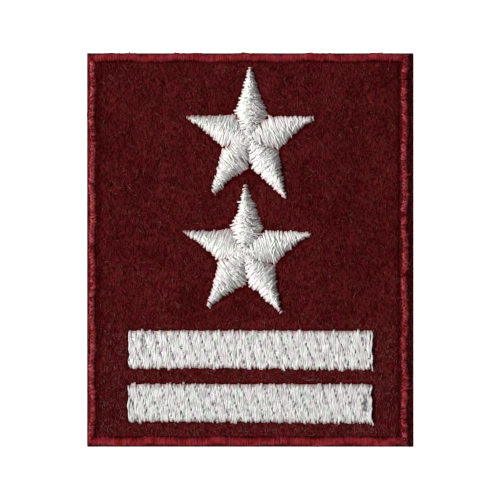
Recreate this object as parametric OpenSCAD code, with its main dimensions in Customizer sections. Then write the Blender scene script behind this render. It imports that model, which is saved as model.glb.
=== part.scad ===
// Beret rank insignia: a rectangle of felted wool cloth with a satin-stitched border,
// two five-pointed stars and two bars embroidered on it.
// The origin is the middle of the back face. +Z leaves the embroidered face, +Y points to the
// end with the stars, and X runs along the bars.

/* [Cloth] */
// Width of the cloth, along the bars
cloth_w = 41.5; // [39:0.5:46]
// Length of the cloth, from the end with the bars to the end with the stars
cloth_l = 50; // [49:0.5:56]
// Thickness of the cloth where nothing presses it
cloth_t = 1.5; // [1.2:0.1:2]
// Depth to which the border's stitches press the cloth
border_press = 0.35; // [0.2:0.05:0.5]
// Depth to which the stars' and bars' stitches press the cloth
motif_press = 0.2; // [0.1:0.05:0.3]

/* [Border] */
// Width of the border's column of stitches
border_w = 0.95; // [0.8:0.05:1.2]
// Height of the border's threads over the pressed cloth
border_h = 0.7; // [0.5:0.05:0.9]
// Bare cloth outside the border at the end with the stars
margin_top = 0.05; // [0.05:0.05:0.5]
// Bare cloth outside the border on the right
margin_right = 0.85; // [0.1:0.05:1]
// Bare cloth outside the border at the end with the bars
margin_bottom = 0.15; // [0.05:0.05:0.5]
// Bare cloth outside the border on the left
margin_left = 0.1; // [0.05:0.05:0.5]

/* [Stars] */
// Usual distance from a star's centre to its tips
star_r = 8.6; // [7.5:0.1:8.8]
// Usual distance from a star's centre to the valleys between its arms
valley_r = 3.95; // [3.5:0.05:4.3]
// Height of an arm's crown over the pressed cloth, where the arm is widest
arm_h = 0.9; // [0.6:0.05:1.2]
// Distance of the upper star's centre above the middle of the cloth
upper_star_y = 14.1; // [14:0.1:14.5]
// Distance of the lower star's centre below the middle of the cloth
lower_star_y = 0.5; // [0.3:0.1:1]
// Distance by which the lower star is sewn off the middle line, to the left
lower_star_shift = 0.6; // [0:0.1:1]

/* [Bars] */
// Length of each bar
bar_l = 30.9; // [26:0.1:33]
// Width of each bar
bar_w = 4.8; // [4:0.1:5]
// Height of a bar's threads over the pressed cloth
bar_h = 0.5; // [0.4:0.05:0.7]
// Distance of the upper bar's middle line below the middle of the cloth
upper_bar_y = 12.6; // [12.5:0.1:13]
// Distance between the middle lines of the two bars
bar_pitch = 6.8; // [6:0.1:7]

/* [Hidden] */

// Clearance between a stitched piece and the cloth, and half of that between two stitched pieces
gap = 0.03;
// The cut edge of the cloth, the felt rising beside the border, and the steps of each curve
edge_t = 0.95;
edge_round = 0.3;
swell_w = 0.6;
curve_steps = 4;
arch_steps = 10;
// Arms keep this share of their crown where they narrow to nothing
thin_crown = 0.4;
// An arm ends this far from its star's centre and has this half width there and at its tip
inner_t = 0.25;
end_half_w = 0.06;
// A star's seat runs this far past each tip, to clear the arm's blunt end
tip_room = 0.3;
// Rounding of a bar's upper edges
bar_round = 0.35;

left_x = -cloth_w / 2 + margin_left;
right_x = cloth_w / 2 - margin_right;
top_y = cloth_l / 2 - margin_top;
bottom_y = -cloth_l / 2 + margin_bottom;
border_z = cloth_t - border_press + gap;
motif_z = cloth_t - motif_press + gap;

// Each star has a row for each arm, clockwise from the top one. The columns are the angle of
// the arm's tip, its distance as a share of star_r, the angle of the valley clockwise of the
// arm, and that valley's distance as a share of valley_r.
ARM_NAMES = ["top", "right", "lower_right", "lower_left", "left"];
UPPER_STAR = [
    [90, 1.05, 51, 0.98],
    [18, 1.00, -21, 1.03],
    [-59, 1.02, -90, 1.00],
    [-124, 0.97, -162, 0.98],
    [-199, 0.98, -238, 0.98]
];
LOWER_STAR = [
    [90, 1.00, 51, 1.00],
    [17, 1.00, -20, 1.05],
    [-59, 1.01, -87, 1.03],
    [-125, 0.96, -166, 0.94],
    [-200, 0.98, -240, 0.97]
];

// A smooth rise from one point to another, without its first point
function rise(x0, z0, x1, z1) =
    [for (i = [1:curve_steps])
        let (s = i / curve_steps)
        [x0 + (x1 - x0) * s, z0 + (z1 - z0) * (1 - cos(180 * s)) / 2]];

// The cloth's section from its back up over one edge, the pressed bed and the swell inside it
function edge_side(edge, band, dir) =
    let (
        bed = cloth_t - border_press,
        lip = edge + dir * min(edge_round, abs(band - edge) + border_w / 2),
        inner = band + dir * border_w
    )
    concat(
        [[edge, 0], [edge, edge_t]],
        rise(edge, edge_t, lip, bed),
        [[inner, bed]],
        rise(inner, bed, inner + dir * swell_w, cloth_t)
    );

function reversed(list) = [for (i = [len(list) - 1:-1:0]) list[i]];

function cloth_section(low_edge, low_band, high_edge, high_band) =
    concat(edge_side(low_edge, low_band, 1), reversed(edge_side(high_edge, high_band, -1)));

// Points of an arch over a base that runs from -right to left, with the given height
function arch(left, right, height) =
    [for (i = [0:arch_steps])
        let (a = 180 * i / arch_steps)
        [cos(a) > 0 ? left * cos(a) : right * cos(a), height * pow(sin(a), 0.8)]];

// Half the width of an arm at distance t from the star's centre, on the side of one valley
function arm_half_w(t, tip, valley, turn) =
    let (
        shoulder_t = valley * cos(turn),
        shoulder_w = valley * abs(sin(turn))
    )
    max(end_half_w, (t < shoulder_t ? shoulder_w * t / shoulder_t
                                    : shoulder_w * (tip - t) / (tip - shoulder_t)) - gap);

module star_outline(rows) {
    polygon([for (row = rows) each [
        (star_r * row[1] + tip_room) * [cos(row[0]), sin(row[0])],
        (valley_r * row[3] + 2 * gap) * [cos(row[2]), sin(row[2])]
    ]]);
}

module bar_outline() {
    square([bar_l + 2 * gap, bar_w + 2 * gap], center = true);
}

// The felt under each motif lies lower than the field, so that the stitches sit in a shallow seat
module seat(x, y) {
    translate([x, y, cloth_t - motif_press]) linear_extrude(cloth_t) children();
}

module base_cloth() {
    across = cloth_section(-cloth_w / 2, left_x, cloth_w / 2, right_x);
    along = cloth_section(-cloth_l / 2, bottom_y, cloth_l / 2, top_y);
    color("#46120F") difference() {
        intersection() {
            translate([0, cloth_l / 2, 0]) rotate([90, 0, 0]) linear_extrude(cloth_l) polygon(across);
            translate([-cloth_w / 2, 0, 0]) rotate([90, 0, 90]) linear_extrude(cloth_w) polygon(along);
        }
        seat(0, upper_star_y) star_outline(UPPER_STAR);
        seat(-lower_star_shift, -lower_star_y) star_outline(LOWER_STAR);
        seat(0, -upper_bar_y) bar_outline();
        seat(0, -upper_bar_y - bar_pitch) bar_outline();
    }
}

// One straight column of satin stitch from -length / 2 to length / 2 along X, arched across Y,
// with its ends mitred inwards on the side of -Y
module satin_column(length) {
    color("#8A3238") intersection() {
        translate([-length / 2, 0, 0]) rotate([90, 0, 90]) linear_extrude(length)
            polygon(arch(border_w / 2, border_w / 2, border_h));
        linear_extrude(2 * border_h) polygon([
            [-length / 2, border_w / 2],
            [length / 2, border_w / 2],
            [length / 2 - border_w, -border_w / 2],
            [-length / 2 + border_w, -border_w / 2]
        ]);
    }
}

module border_top() {
    translate([(left_x + right_x) / 2, top_y - border_w / 2, border_z])
        satin_column(right_x - left_x - 2 * gap);
}

module border_bottom() {
    translate([(left_x + right_x) / 2, bottom_y + border_w / 2, border_z])
        rotate(180) satin_column(right_x - left_x - 2 * gap);
}

module border_right() {
    translate([right_x - border_w / 2, (top_y + bottom_y) / 2, border_z])
        rotate(-90) satin_column(top_y - bottom_y - 2 * gap);
}

module border_left() {
    translate([left_x + border_w / 2, (top_y + bottom_y) / 2, border_z])
        rotate(90) satin_column(top_y - bottom_y - 2 * gap);
}

// A thin upright slice of an arm at distance t from the star's centre
module arm_rib(t, left, right, height) {
    slice = 0.02;
    translate([t - slice / 2, 0, 0]) rotate([90, 0, 90]) linear_extrude(slice)
        polygon(arch(left, right, height));
}

// One arm lies along X from its star's centre, a kite with a crown that falls to both its ends
module star_arm(rows, i) {
    row = rows[i];
    before = rows[(i + 4) % 5];
    tip = star_r * row[1];
    right_valley = valley_r * row[3];
    left_valley = valley_r * before[3];
    right_turn = row[0] - row[2];
    left_turn = before[2] - row[0];
    shoulders = [right_valley * cos(right_turn), left_valley * cos(left_turn)];
    widest = valley_r * sin(36);
    color("#E4E4DF") rotate(row[0]) hull()
        for (t = [inner_t, min(shoulders), max(shoulders), (max(shoulders) + tip) / 2, tip])
            let (
                left = arm_half_w(t, tip, left_valley, left_turn),
                right = arm_half_w(t, tip, right_valley, right_turn),
                fullness = min(1, sqrt((left + right) / 2 / widest))
            )
            arm_rib(t, left, right, arm_h * (thin_crown + (1 - thin_crown) * fullness));
}

module upper_star_arm(i) {
    translate([0, upper_star_y, motif_z]) star_arm(UPPER_STAR, i);
}

module lower_star_arm(i) {
    translate([-lower_star_shift, -lower_star_y, motif_z]) star_arm(LOWER_STAR, i);
}

// A bar is a filled block of stitches, flat on top, with rounded upper edges
function bar_section(width) =
    concat(
        [[-width / 2, 0]],
        [for (i = [0:curve_steps])
            let (a = 90 * i / curve_steps)
            [-width / 2 + bar_round * (1 - cos(a)), bar_h - bar_round * (1 - sin(a))]],
        [for (i = [curve_steps:-1:0])
            let (a = 90 * i / curve_steps)
            [width / 2 - bar_round * (1 - cos(a)), bar_h - bar_round * (1 - sin(a))]],
        [[width / 2, 0]]
    );

module bar() {
    color("#E1E1DC") intersection() {
        translate([-bar_l / 2, 0, 0]) rotate([90, 0, 90]) linear_extrude(bar_l)
            polygon(bar_section(bar_w));
        translate([0, bar_w / 2, 0]) rotate([90, 0, 0]) linear_extrude(bar_w)
            polygon(bar_section(bar_l));
    }
}

module upper_bar() {
    translate([0, -upper_bar_y, motif_z]) bar();
}

module lower_bar() {
    translate([0, -upper_bar_y - bar_pitch, motif_z]) bar();
}

base_cloth();
border_top();
border_right();
border_bottom();
border_left();
for (i = [0:4]) {
    upper_star_arm(i);
    lower_star_arm(i);
}
upper_bar();
lower_bar();
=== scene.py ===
"""Beret rank insignia, dressed: felted cloth, a satin-stitched border, two stars and two bars.

The piece lies on its back, +Z out of the embroidered face and +Y towards the stars' end. Sizes
here are in millimetres until a mesh is filled, and in metres from there on.
"""

import math

import bpy
import numpy as np
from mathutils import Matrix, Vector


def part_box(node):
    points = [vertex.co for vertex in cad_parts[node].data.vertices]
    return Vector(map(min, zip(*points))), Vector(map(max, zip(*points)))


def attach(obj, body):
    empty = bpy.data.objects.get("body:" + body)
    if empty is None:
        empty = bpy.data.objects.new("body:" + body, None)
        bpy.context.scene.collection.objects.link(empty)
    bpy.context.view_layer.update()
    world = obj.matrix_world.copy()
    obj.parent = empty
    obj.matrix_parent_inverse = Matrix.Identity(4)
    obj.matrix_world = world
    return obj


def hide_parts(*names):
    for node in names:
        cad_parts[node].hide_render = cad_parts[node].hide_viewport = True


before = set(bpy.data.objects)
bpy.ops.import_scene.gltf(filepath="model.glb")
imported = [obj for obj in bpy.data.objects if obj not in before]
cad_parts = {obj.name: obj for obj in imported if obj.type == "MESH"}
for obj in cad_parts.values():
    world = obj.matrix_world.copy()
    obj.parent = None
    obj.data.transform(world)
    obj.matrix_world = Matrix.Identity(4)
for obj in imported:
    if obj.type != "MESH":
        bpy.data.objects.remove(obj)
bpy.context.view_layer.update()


# Cloth
# The real piece is a rectangle of felted wool, woven, fulled and brushed, with edges cut by a
# blade. The stitching presses it down along the border and under the stars and bars.

MM = 0.001
CLOTH_STEP = 0.21
CLOTH_BACK_STEPS = 12
CLOTH_WALL_STEPS = 3
# How far the cut ends stand out past the CAD node, how far in the cut sides wander, and how far
# from each side the face follows them
EDGE_OUT = 0.02
EDGE_WANDER = 0.004
EDGE_WANDER_WIDE = 0.4
# How far the face drops at a cut edge, and how far in from each edge it starts to
EDGE_DROP = 0.28
EDGE_ROUND = {"top": 0.3, "right": 0.85, "bottom": 0.3, "left": 0.3}
# How deep each column presses the wool, and how far beside the column the wool rises again
BORDER_PRESS = {"top": 0.15, "right": 0.05, "bottom": 0.15, "left": 0.25}
BED_SLOPE = 0.35
# How far the wool closes over each column's outer and inner edge
BORDER_CLOSE = {
    "top": (-0.05, 0.0), "right": (0.05, 0.2), "bottom": (-0.05, 0.0), "left": (0.2, 0.05),
}
# The welt of wool beside the left column: how high it stands, and how wide its slope is
WELT_HIGH = 0.12
WELT_WIDE = 0.75
# A star or bar presses the wool on the slope that runs from MOTIF_TUCK inside its edge, where it
# would be MOTIF_PRESS deep, to MOTIF_SWELL outside it, and as deep as at its edge all over
MOTIF_PRESS = 0.2
MOTIF_TUCK = 0.15
MOTIF_SWELL = 0.1
# How far the wool is moved to the dark colour of flattened wool: at the stitching, and on the bare
# margin outside the right column, where it is painted shadow of that column; and how far beside
# each column, and beside a star or bar, it is still moved, as flattened wool and as painted shade,
# furthest to the right of the left column, where its painted shadow falls
PRESSED_MOST = 0.85
MARGIN_PAINTED_SHADOW = 0.4
PRESSED_AND_SHADED_REACH = {"top": 0.4, "right": 0.5, "bottom": 0.4, "left": 1.1}
PRESSED_AND_SHADED_REACH_MOTIF = 0.4
FIELD_WAVES = [
    # width along X, width along Y, height
    (7.0, 11.0, 0.030),
    (3.1, 5.3, 0.020),
    (1.7, 2.6, 0.012),
]

# Each star has a row for each arm, clockwise from the top one: the angle of the arm's tip, its
# distance from the star's centre, the angle of the valley clockwise of it, and that distance.
ARM_NAMES = ["top", "right", "lower_right", "lower_left", "left"]
STAR_R = 8.6
VALLEY_R = 3.95
STARS = {
    "upper": {
        "centre": (0.0, 14.1),
        "arms": [
            (90, 1.05, 51, 0.98),
            (18, 1.00, -21, 1.03),
            (-59, 1.02, -90, 1.00),
            (-124, 0.97, -162, 0.98),
            (-199, 0.98, -238, 0.98),
        ],
    },
    "lower": {
        "centre": (-0.6, -0.5),
        "arms": [
            (90, 1.00, 51, 1.00),
            (17, 1.00, -20, 1.05),
            (-59, 1.01, -87, 1.03),
            (-125, 0.96, -166, 0.94),
            (-200, 0.98, -240, 0.97),
        ],
    },
}


def node_box(node):
    """Lowest and highest corner of a CAD node, in millimetres."""
    return np.array(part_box(node)) / MM


def ease(x, low, high):
    """0 up to low, 1 from high on, and a smooth S between them: 3s squared less 2s cubed."""
    s = np.clip((x - low) / (high - low), 0, 1)
    return s * s * (3 - 2 * s)


def bell(x, middle, half, power=2):
    """1 at the middle, falling to both sides: the exponent of minus a power of the way over half."""
    return np.exp(-((x - middle) / half) ** power)


def direction(degrees):
    """Unit vector in the cloth's plane at an angle from +X."""
    a = math.radians(degrees)
    return np.array([math.cos(a), math.sin(a)])


cloth_low, cloth_high = node_box("base_cloth")
cloth_t = cloth_high[2]
border_sides = {side: node_box(f"border_{side}") for side in ("top", "right", "bottom", "left")}
bar_boxes = {name: node_box(name) for name in ("upper_bar", "lower_bar")}
# The rectangle inside the border's four columns
field_low = (border_sides["left"][1][0], border_sides["bottom"][1][1])
field_high = (border_sides["right"][0][0], border_sides["top"][0][1])


def star_corners(star):
    """A star's ten corners in order, tips and valleys by turns, round its centre."""
    centre = np.array(star["centre"])
    corners = []
    for tip_angle, tip_share, valley_angle, valley_share in star["arms"]:
        corners.append(centre + STAR_R * tip_share * direction(tip_angle))
        corners.append(centre + VALLEY_R * valley_share * direction(valley_angle))
    return np.array(corners)


def outside_polygon(x, y, corners):
    """Distance from each point to a closed outline, and 0 inside it.

    The distance is to the nearest edge. A point is inside if a ray from it along +X crosses an
    odd number of edges.
    """
    nearest = np.full(x.shape, np.inf)
    inside = np.zeros(x.shape, bool)
    for (ax, ay), (bx, by) in zip(corners, np.roll(corners, -1, axis=0)):
        ex, ey = bx - ax, by - ay
        s = np.clip(((x - ax) * ex + (y - ay) * ey) / (ex * ex + ey * ey), 0, 1)
        nearest = np.minimum(nearest, np.hypot(x - ax - s * ex, y - ay - s * ey))
        inside ^= ((ay > y) != (by > y)) & (x < ex * (y - ay) / (ey + 1e-12) + ax)
    return np.where(inside, 0, nearest)


def outside_box(x, y, low, high):
    """Distance from each point to an upright rectangle, and 0 inside it."""
    dx = np.maximum(np.maximum(low[0] - x, x - high[0]), 0)
    dy = np.maximum(np.maximum(low[1] - y, y - high[1]), 0)
    return np.hypot(dx, dy)


def outside_motifs(x, y):
    """Distance from each point to the nearest star or bar, and 0 on one."""
    stars = [outside_polygon(x, y, star_corners(star)) for star in STARS.values()]
    return np.min(stars + [outside_box(x, y, *box) for box in bar_boxes.values()], axis=0)


def from_side(side, x, y, low, high):
    """How far each point lies inside one side of an upright rectangle."""
    inside = {"top": high[1] - y, "right": high[0] - x, "bottom": y - low[1], "left": x - low[0]}
    return inside[side]


def border_bed(side):
    """Lowest and highest corner of the bed that a border presses into the wool."""
    low, high = (corner.copy() for corner in border_sides[side])
    outer, inner = BORDER_CLOSE[side]
    k = 0 if side in ("left", "right") else 1
    low[k] += outer if side in ("left", "bottom") else inner
    high[k] -= inner if side in ("left", "bottom") else outer
    return low, high


def pressed_share(x, y):
    """How far the wool takes the dark colour of flattened wool: PRESSED_MOST at the stitching,
    easing to 0 beside it, as flattened wool and as painted shade.

    It is MARGIN_PAINTED_SHADOW on the bare margin outside the right border: painted shadow of that border.
    """
    beside = np.min([
        from_side(side, x, y, field_low, field_high) / PRESSED_AND_SHADED_REACH[side] for side in border_sides
    ], axis=0)
    beside = np.where(beside < 0, 1, beside)
    beside = np.minimum(beside, outside_motifs(x, y) / PRESSED_AND_SHADED_REACH_MOTIF)
    share = PRESSED_MOST * (1 - ease(beside, 0, 1))
    # Outside the right column the share is painted shadow of that column
    return np.where(x > border_sides["right"][1][0], MARGIN_PAINTED_SHADOW, share)


def cloth_height(x, y):
    """Height of the cloth's face over its back.

    The full thickness, plus low sine waves, less a bed pushed down along each border and under each
    motif that eases out beside it, and less a rounding towards the cut edges that grows with the
    1.3th power of the way to the edge. Beside the left border a welt of wool slopes down inwards.
    """
    z = np.full(np.shape(x), cloth_t)
    for i, (wide, long, high) in enumerate(FIELD_WAVES):
        crosswise = np.sin(6.283 * x / wide + i + np.sin(4 * y / long))
        z += high * (crosswise * np.sin(6.283 * y / long + 2 * i) - 1)
    z -= np.max([
        BORDER_PRESS[side] * (1 - ease(outside_box(x, y, *border_bed(side)), 0, BED_SLOPE))
        for side in border_sides
    ], axis=0)
    z += WELT_HIGH * np.clip(1 - (x - field_low[0]) / WELT_WIDE, 0, 1)
    z -= MOTIF_PRESS * (1 - ease(outside_motifs(x, y), -MOTIF_TUCK, MOTIF_SWELL))
    rounding = np.max([
        np.clip(1 - from_side(side, x, y, cloth_low, cloth_high) / EDGE_ROUND[side], 0, 1)
        for side in border_sides
    ], axis=0)
    return z - EDGE_DROP * rounding ** 1.3


def fill_piece(name, points, face_sets, uv=None, smooth=None):
    """Puts whole arrays into a new object's mesh.

    points is in millimetres. face_sets has one array of faces for each number of corners. uv has a
    row for each corner of each face, in the same order, and smooth says which faces are rounded.
    """
    mesh = bpy.data.meshes.new(name)
    corners = np.concatenate([faces.ravel() for faces in face_sets])
    sizes = np.concatenate([np.full(len(faces), faces.shape[1]) for faces in face_sets])
    mesh.vertices.add(len(points))
    mesh.vertices.foreach_set("co", (points * MM).astype(np.float32).ravel())
    mesh.loops.add(len(corners))
    mesh.loops.foreach_set("vertex_index", corners.astype(np.int32))
    mesh.polygons.add(len(sizes))
    mesh.polygons.foreach_set("loop_start", (np.cumsum(sizes) - sizes).astype(np.int32))
    mesh.polygons.foreach_set("use_smooth", np.ones(len(sizes), bool) if smooth is None else smooth)
    mesh.update(calc_edges=True)
    if uv is not None:
        layer = mesh.uv_layers.new(name="thread")
        layer.uv.foreach_set("vector", uv.astype(np.float32).ravel())
    piece = bpy.data.objects.new(name, mesh)
    bpy.context.scene.collection.objects.link(piece)
    return piece


def tube_faces(tubes, rings, sides):
    """Quads round closed tubes and the two flat faces that close each one's ends.

    The points are counted tube by tube, ring by ring and round each ring.
    """
    index = np.arange(tubes * rings * sides).reshape(tubes, rings, sides)
    beside = np.roll(index, -1, axis=2)
    quads = np.stack([index[:, :-1], beside[:, :-1], beside[:, 1:], index[:, 1:]], axis=-1)
    return quads.reshape(-1, 4), np.concatenate([index[:, 0, ::-1], index[:, -1]])


def mark_points(piece, name, values):
    """Keeps a number on each point of a piece, for its material."""
    layer = piece.data.attributes.new(name, "FLOAT", "POINT")
    layer.data.foreach_set("value", values.astype(np.float32))


def linear(hex_colour):
    """An sRGB colour such as #46120F as the linear red, green, blue and alpha of a shader."""
    srgb = np.array([int(hex_colour[i:i + 2], 16) for i in (1, 3, 5)]) / 255
    low = srgb / 12.92
    high = ((srgb + 0.055) / 1.055) ** 2.4
    return (*np.where(srgb <= 0.04045, low, high).tolist(), 1.0)


def new_material(name):
    """A material with an empty node tree."""
    material = bpy.data.materials.new(name)
    material.use_nodes = True
    material.node_tree.nodes.clear()
    return material


def add_node(material, kind, inputs=None, output=None, **settings):
    """Adds one shader node with its properties, and returns one of its outputs: the first or output.

    inputs maps a socket's name or index to another node's output, or to a value of its own.
    """
    node = material.node_tree.nodes.new(kind)
    for key, value in settings.items():
        setattr(node, key, value)
    for socket, source in (inputs or {}).items():
        if isinstance(source, bpy.types.NodeSocket):
            material.node_tree.links.new(source, node.inputs[socket])
        else:
            node.inputs[socket].default_value = source
    return node.outputs[output] if output else next((out for out in node.outputs if out.enabled), None)


def grain(material, place, size, detail=2.0, roughness=0.5, unit=MM):
    """Noise whose spots are size wide along each axis: in millimetres for a place in metres.

    With a unit of 1 they are in the place's own unit.
    """
    scale = [1 / (s * unit) for s in size]
    mapped = add_node(material, "ShaderNodeMapping", {"Vector": place, "Scale": scale})
    return add_node(material, "ShaderNodeTexNoise", {
        "Vector": mapped, "Scale": 1.0, "Detail": detail, "Roughness": roughness})


def blend_colour(material, share, stops):
    """The colour at a share from 0 to 1 on a ramp of stops, each a position and a hex colour."""
    ramp = add_node(material, "ShaderNodeValToRGB", {"Fac": share})
    ends = ramp.node.color_ramp.elements
    for end, (position, shade) in zip(ends, (stops[0], stops[-1])):
        end.position = position
        end.color = linear(shade)
    for position, shade in stops[1:-1]:
        ends.new(position).color = linear(shade)
    return ramp


def uneven_dye(material, place, colour, size, tints):
    """A colour multiplied by soft patches of three tints, size millimetres wide."""
    patches = grain(material, place, (size, size, size))
    tint = blend_colour(material, patches, list(zip((0.3, 0.5, 0.7), tints)))
    return add_node(material, "ShaderNodeMix", {"Factor": 1.0, "A": colour, "B": tint},
                    data_type="RGBA", blend_type="MULTIPLY")


def blend_marked(material, mark, colour, goal, most=1.0):
    """A colour moved towards the hex colour goal, by what mark_points kept, times most."""
    kept = add_node(material, "ShaderNodeAttribute", output="Fac", attribute_name=mark)
    share = add_node(material, "ShaderNodeMath", {0: kept, 1: most}, operation="MULTIPLY")
    return add_node(
        material, "ShaderNodeMix", {"Factor": share, "A": colour, "B": linear(goal)}, data_type="RGBA")


WOOL_TINTS = ["#E2FAD8", "#FFF4EA", "#FFDCF4"]
# The colour where the stitching flattens the wool, so that no pale fibre end shows; beside the
# stitching and on the right margin it is painted shade and painted shadow
PRESSED_AND_SHADED_WOOL = "#340204"


def felted_wool():
    """Fulled and brushed wool cloth: matt, deep red, with a fine upright grain.

    The fibres give the eye a soft rim of light at a slant, streaks about 0.16 by 0.55 mm, a faint
    ribbing of 0.7 mm where the weave shows through the fulling, and patches where the dye took
    browner or more purple.
    """
    material = new_material("felted_wool")
    place = add_node(material, "ShaderNodeTexCoord", output="Object")
    fine = grain(material, place, (0.16, 0.55, 0.3), detail=3.0, roughness=0.6)
    patches = grain(material, place, (2.6, 4.0, 2.6))
    ribs = grain(material, place, (0.7, 9.0, 9.0), detail=0.0)
    streaked = blend_colour(material, fine, [(0.28, "#340002"), (0.72, "#762A2E")])
    mottled = blend_colour(material, patches, [(0.3, "#BEB0B0"), (0.7, "#FFFFFF")])
    both = add_node(material, "ShaderNodeMix", {"Factor": 0.8, "A": streaked, "B": mottled},
                    data_type="RGBA", blend_type="MULTIPLY")
    colour = uneven_dye(material, place, both, 1.5, WOOL_TINTS)
    relief = add_node(material, "ShaderNodeMath", {0: fine, 1: ribs}, operation="MULTIPLY")
    bump = add_node(
        material, "ShaderNodeBump", {"Height": relief, "Strength": 0.5, "Distance": 0.12 * MM})
    skin = add_node(material, "ShaderNodeBsdfPrincipled", {
        # The mark of flattened wool and painted shade darkens the wool towards its dark colour
        "Base Color": blend_marked(material, "pressed", colour, PRESSED_AND_SHADED_WOOL),
        "Normal": bump,
        "Roughness": 0.95,
        "IOR": 1.54,
        "Specular IOR Level": 0.0,
        "Sheen Weight": 0.1,
        "Sheen Roughness": 0.5,
        "Sheen Tint": linear("#A82020"),
    })
    add_node(material, "ShaderNodeOutputMaterial", {"Surface": skin})
    return material


def cut_wall(edge, shares):
    """The points under a cut edge of the face, at shares of its height."""
    return edge * [1, 1, 0] + edge[..., 2:] * shares[None, :, None] * [0, 0, 1]


def cloth_piece():
    """The sheet as one closed section carried along Y.

    The section runs across the face at cloth_height, down the right edge, back under and up the
    left edge. The cut edges wander a little. A flat face closes each end.
    """
    width, length = (cloth_high - cloth_low)[:2]
    across = np.linspace(cloth_low[0], cloth_high[0], int(width / CLOTH_STEP) + 1)
    steps = int(length / CLOTH_STEP) + 1
    along = np.linspace(cloth_low[1] - EDGE_OUT, cloth_high[1] + EDGE_OUT, steps)
    down = np.linspace(1, 0, CLOTH_WALL_STEPS + 2)[1:-1]
    back = np.linspace(cloth_high[0], cloth_low[0], CLOTH_BACK_STEPS)
    x, y = np.meshgrid(across, along)
    face = np.stack([x, y, cloth_height(x, y)], axis=-1)
    under_x, under_y = np.meshgrid(back, along)
    under = np.stack([under_x, under_y, np.zeros_like(under_x)], axis=-1)
    section = np.concatenate([
        face, cut_wall(face[:, -1:], down), under, cut_wall(face[:, :1], down[::-1])], axis=1)
    wander = EDGE_WANDER * (np.sin(along * 2.9) + np.sin(along * 6.1 + 1)) / 2
    near_side = ease(np.abs(section[..., 0]), cloth_high[0] - EDGE_WANDER_WIDE, cloth_high[0])
    section[..., 0] -= np.sign(section[..., 0]) * near_side * (EDGE_WANDER + wander[:, None])
    piece = fill_piece("cloth", section.reshape(-1, 3), tube_faces(1, *section.shape[:2]))
    up = section[..., 2] > 0.5 * cloth_t
    # Each point's share of flattened wool and painted shade, kept for the material
    pressed = np.where(up, pressed_share(section[..., 0], section[..., 1]), 0)
    mark_points(piece, "pressed", pressed.ravel())
    return piece


cloth = cloth_piece()
cloth.data.materials.append(felted_wool())
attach(cloth, "root")
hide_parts("base_cloth")


# Nap
# The brushed fibres of the wool stand up out of the felt and lie mostly along the cloth's length.
# They are part of the cloth, raised by wire brushes, and drawn about twice as thick as wool.

# The share of fibres that lie crosswise, how high their far ends lift, how deep their roots are,
# and how far they keep from the cut edges
NAP_CROSSWISE = 0.25
NAP_LIFT = 0.05
NAP_ROOT = 0.02
NAP_MARGIN = 0.1
NAP_KINDS = [
    # how many, length from and to, spread in degrees, half width, bends, curl, tone
    (26000, (0.2, 0.65), 17, 0.036, 1, 0.03, 0.39),
    (3200, (0.5, 1.4), 45, 0.028, 2, 0.08, 0.6),
]
# Two pale fibres of fluff that stand out most: where each starts and ends, how far both bend off
# the straight line, and their half width
FLUFF = np.array([[(15.2, -10.7), (15.8, -9.95)], [(7.05, -16.55), (8.4, -16.3)]])
FLUFF_BULGE = np.array([[0.05, -0.08, 0.1]])
FLUFF_HALF_W = 0.06


def spindles(start, end, bulge, half_w, bends):
    """Bent fibres, each a closed spindle of a few triangles.

    A fibre runs from start to end over rings of three points, as many as it has bends and evenly
    along its way, which are moved off the straight line by bulge. Its ends are points.
    """
    along = end - start
    side = np.cross(along, [0, 0, 1.0])
    side /= np.linalg.norm(side, axis=1, keepdims=True) + 1e-9
    up = np.cross(side, along)
    up /= np.linalg.norm(up, axis=1, keepdims=True) + 1e-9
    turns = np.radians([90, 210, 330])
    ring = np.cos(turns)[None, :, None] * side[:, None] + np.sin(turns)[None, :, None] * up[:, None]
    ring *= half_w[:, None, None]
    shares = np.arange(1, bends + 1) / (bends + 1)
    bent = start[:, None] + along[:, None] * shares[:, None] + bulge[:, None]
    rings = (bent[:, :, None] + ring[:, None]).reshape(len(start), 3 * bends, 3)
    points = np.concatenate([start[:, None], rings, end[:, None]], axis=1)
    j = 1 + np.arange(3)
    k = 1 + (np.arange(3) + 1) % 3
    far = 3 * (bends - 1)
    one = [np.stack([np.zeros(3, int), k, j], axis=1)]
    for first in range(0, far, 3):
        one.append(np.stack([first + j, first + k, first + 3 + k], axis=1))
        one.append(np.stack([first + j, first + 3 + k, first + 3 + j], axis=1))
    one.append(np.stack([np.full(3, far + 4), far + j, far + k], axis=1))
    one = np.concatenate(one)
    faces = (np.arange(len(start))[:, None, None] * (far + 5) + one[None]).reshape(-1, 3)
    return points.reshape(-1, 3), faces


def over_stitching(x, y):
    """True where a point lies on a border, a star or a bar."""
    beds = [outside_box(x, y, *border_bed(side)) for side in border_sides]
    return np.min([*beds, outside_motifs(x, y)], axis=0) <= 0.02


def wool_fibre():
    """Single wool fibres, dyed with the cloth: matt, each with its own depth of red."""
    material = new_material("wool_fibre")
    place = add_node(material, "ShaderNodeTexCoord", output="Object")
    tone = add_node(material, "ShaderNodeAttribute", output="Fac", attribute_name="tone")
    colour = blend_colour(material, tone, [
        (0.0, "#3C0002"), (0.35, "#540408"), (0.6, "#6C1C20"), (0.85, "#803C40"), (1.0, "#905E62")])
    colour = uneven_dye(material, place, colour, 1.5, WOOL_TINTS)
    skin = add_node(material, "ShaderNodeBsdfPrincipled", {
        # The mark of flattened wool and painted shade darkens the fibre towards its dark colour
        "Base Color": blend_marked(material, "pressed", colour, PRESSED_AND_SHADED_WOOL),
        "Roughness": 0.9,
        "IOR": 1.54,
        "Specular IOR Level": 0.0,
    })
    add_node(material, "ShaderNodeOutputMaterial", {"Surface": skin})
    return material


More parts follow.
